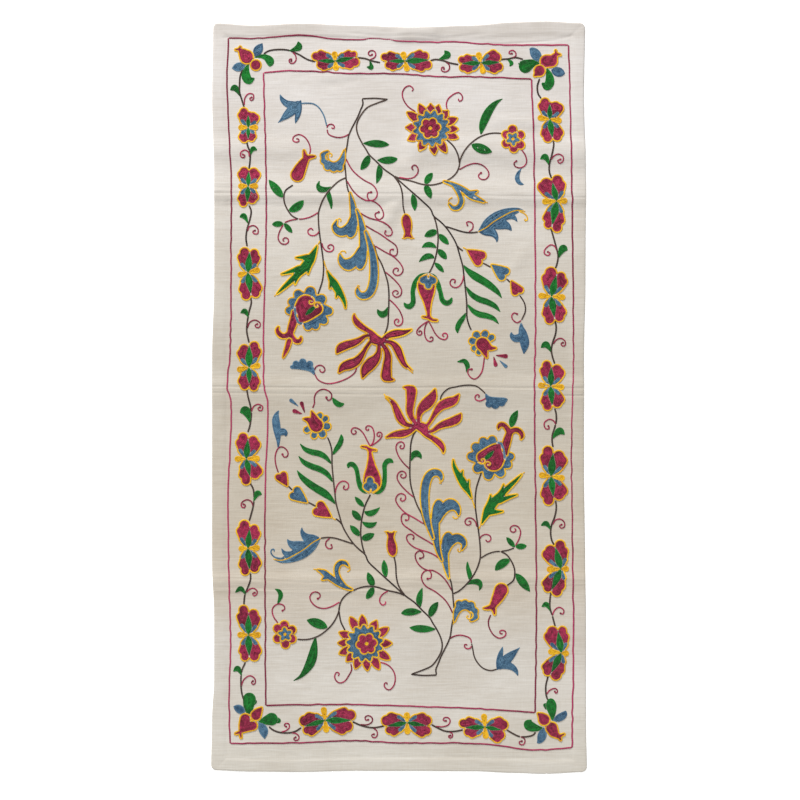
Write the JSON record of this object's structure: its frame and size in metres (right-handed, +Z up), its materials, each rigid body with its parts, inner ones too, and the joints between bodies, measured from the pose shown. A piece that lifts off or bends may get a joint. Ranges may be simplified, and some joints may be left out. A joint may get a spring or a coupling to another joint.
{
  "type": "suzani embroidered textile",
  "caption": "Small flat hanging of slubby unbleached cloth with a turned hem, worked in silk chain stitch with flowering trees inside a flower border.",
  "frame": {"origin": "middle of the cloth's bounding box, on the surface that it lies on", "axes": "+X across the cloth, +Y along it towards its top edge, +Z up from its face"},
  "size_m": [0.4996, 1.0006, 0.0041],
  "materials": {
    "ground_cloth": "slubby unbleached silk and cotton, plain weave, matt",
    "silk_thread": "floss silk in crimson, yellow, green, blue and brown, chain stitched, soft sheen"
  },
  "bodies": {
    "root": {"embroidered_cloth": "ground_cloth"}
  },
  "joints": []
}
